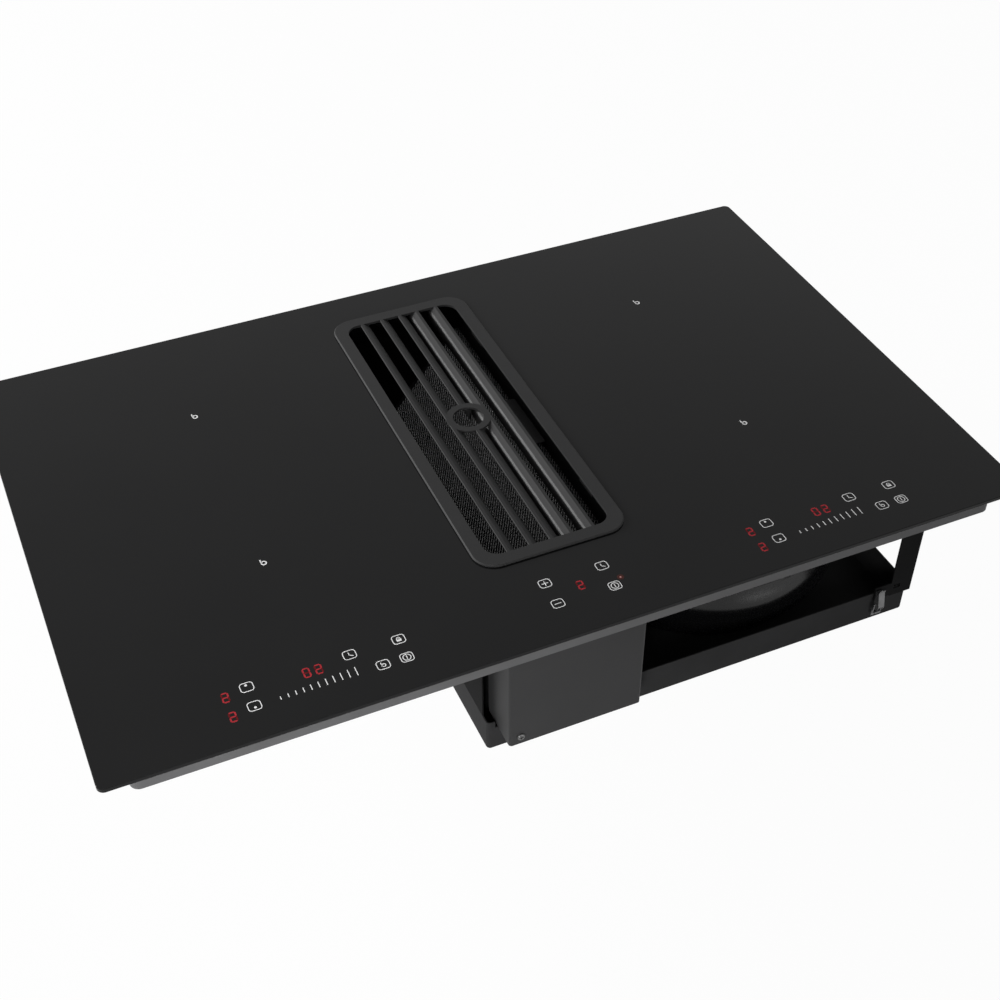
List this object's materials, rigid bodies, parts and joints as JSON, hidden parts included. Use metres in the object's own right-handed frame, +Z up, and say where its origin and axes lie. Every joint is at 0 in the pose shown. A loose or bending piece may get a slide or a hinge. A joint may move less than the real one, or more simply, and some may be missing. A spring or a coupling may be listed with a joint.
{
  "type": "downdraft induction cooktop",
  "caption": "Induction hob with a suction well and lift-out air grille in its middle, a fan and duct outlet below, and a latched lower tray.",
  "frame": {"origin": "centre of the footprint, on the surface that the lower tray stands on", "axes": "+X to the right, +Y to the back, +Z up; the controls are at the front, -Y"},
  "size_m": [0.8, 0.51, 0.2],
  "materials": {
    "glass": "polished dark glass ceramic",
    "foam": "closed-cell foam tape",
    "pan_steel": "light grey zinc-plated sheet",
    "coil_aluminium": "mill finish",
    "coil_copper": "lacquered copper strand",
    "ferrite": "sintered, matt",
    "former_plastic": "moulded, matt",
    "mica": "pressed mica",
    "bright_steel": "zinc-plated",
    "circuit_board": "lacquered board",
    "grille_paint": "satin anthracite casting",
    "filter_metal": "dark anodised mesh",
    "black_plastic": "moulded, matt",
    "gloss_black": "moulded, glossy",
    "motor_paint": "satin paint",
    "tray_steel": "grey sheet",
    "dark_steel": "dark grey sheet",
    "cover_steel": "grey coated sheet",
    "box_steel": "zinc-plated sheet"
  },
  "bodies": {
    "hob": {"base_pan": "pan_steel", "board_carrier": "former_plastic", "board_spacers": "former_plastic", "cable_gland": "black_plastic", "case_screws": "bright_steel", "coil_formers": "former_plastic", "coil_plate_left": "coil_aluminium", "coil_plate_right": "coil_aluminium", "cooling_fan_frame": "former_plastic", "cover_screw": "bright_steel", "electronics_box": "box_steel", "fan_bowl": "gloss_black", "fan_control_board": "circuit_board", "fan_cover": "black_plastic", "fan_motor": "motor_paint", "ferrite_bars": "ferrite", "front_cover": "cover_steel", "glass_panel": "glass", "heat_sink_front": "coil_aluminium", "heat_sink_rear": "coil_aluminium", "induction_coil_left_front": "coil_copper", "induction_coil_left_rear": "coil_copper", "induction_coil_right_front": "coil_copper", "induction_coil_right_rear": "coil_copper", "intake_plenum": "black_plastic", "latch_bases": "bright_steel", "latch_pins": "bright_steel", "left_side_plate": "dark_steel", "mica_sheets": "mica", "motor_bearings": "bright_steel", "outlet_spigot": "black_plastic", "plate_posts": "bright_steel", "power_board_front": "circuit_board", "power_board_rear": "circuit_board", "right_front_leg": "dark_steel", "right_rear_leg": "dark_steel", "suction_well": "black_plastic", "terminal_block": "former_plastic", "touch_board_left": "circuit_board", "touch_board_middle": "circuit_board", "touch_board_right": "circuit_board", "touch_carrier": "former_plastic", "well_seal": "foam", "worktop_seal": "foam", "zone_sensors": "bright_steel"},
    "grille": {"air_grille": "grille_paint"},
    "filter": {"filter_frame": "filter_metal", "filter_mesh": "filter_metal", "filter_grip": "filter_metal"},
    "fan_rotor": {"fan_impeller": "black_plastic", "fan_shaft": "bright_steel"},
    "cooling_rotor": {"cooling_fan_rotor": "black_plastic"},
    "tray": {"lower_tray": "tray_steel", "latch_keepers": "bright_steel"},
    "lever_front": {"latch_lever_front": "bright_steel"},
    "bail_front": {"latch_bail_front": "bright_steel"},
    "lever_rear": {"latch_lever_rear": "bright_steel"},
    "bail_rear": {"latch_bail_rear": "bright_steel"},
    "lever_side": {"latch_lever_side": "bright_steel"},
    "bail_side": {"latch_bail_side": "bright_steel"}
  },
  "joints": [
    {"name": "grille_lift", "type": "slide", "parent": "hob", "child": "grille", "axis": [0, 0, 1], "range_m": [0, 0.22]},
    {"name": "filter_lift", "type": "slide", "parent": "hob", "child": "filter", "axis": [0, 0, 1], "range_m": [0, 0.176]},
    {"name": "fan_spin", "type": "hinge", "parent": "hob", "child": "fan_rotor", "pos_m": [0.218, -0.027, 0.06], "axis": [0, 0, 1], "continuous": true},
    {"name": "cooling_fan_spin", "type": "hinge", "parent": "hob", "child": "cooling_rotor", "pos_m": [-0.146, 0, 0.15], "axis": [0, 0, 1], "continuous": true},
    {"name": "tray_drop", "type": "slide", "parent": "hob", "child": "tray", "axis": [0, 0, -1], "range_m": [0, 0.05]},
    {"name": "lever_front_turn", "type": "hinge", "parent": "hob", "child": "lever_front", "pos_m": [0.33, -0.189, 0.02], "axis": [1, 0, 0], "range_deg": [0, 130]},
    {"name": "bail_front_turn", "type": "hinge", "parent": "lever_front", "child": "bail_front", "pos_m": [0.33, -0.1879, 0.0234], "axis": [1, 0, 0], "range_deg": [-170, 0]},
    {"name": "lever_rear_turn", "type": "hinge", "parent": "hob", "child": "lever_rear", "pos_m": [0.33, 0.221, 0.02], "axis": [-1, 0, 0], "range_deg": [0, 130]},
    {"name": "bail_rear_turn", "type": "hinge", "parent": "lever_rear", "child": "bail_rear", "pos_m": [0.33, 0.2199, 0.0234], "axis": [-1, 0, 0], "range_deg": [-170, 0]},
    {"name": "lever_side_turn", "type": "hinge", "parent": "hob", "child": "lever_side", "pos_m": [-0.079, 0.03, 0.02], "axis": [0, -1, 0], "range_deg": [0, 130]},
    {"name": "bail_side_turn", "type": "hinge", "parent": "lever_side", "child": "bail_side", "pos_m": [-0.0779, 0.03, 0.0234], "axis": [0, -1, 0], "range_deg": [-170, 0]}
  ],
  "couplings": [
    {"joint": "filter_lift", "follows": "grille_lift", "ratio": 0.8},
    {"joint": "lever_front_turn", "follows": "tray_drop", "rad_per_m": 45.379},
    {"joint": "bail_front_turn", "follows": "tray_drop", "rad_per_m": -59.341},
    {"joint": "lever_rear_turn", "follows": "tray_drop", "rad_per_m": 45.379},
    {"joint": "bail_rear_turn", "follows": "tray_drop", "rad_per_m": -59.341},
    {"joint": "lever_side_turn", "follows": "tray_drop", "rad_per_m": 45.379},
    {"joint": "bail_side_turn", "follows": "tray_drop", "rad_per_m": -59.341}
  ]
}
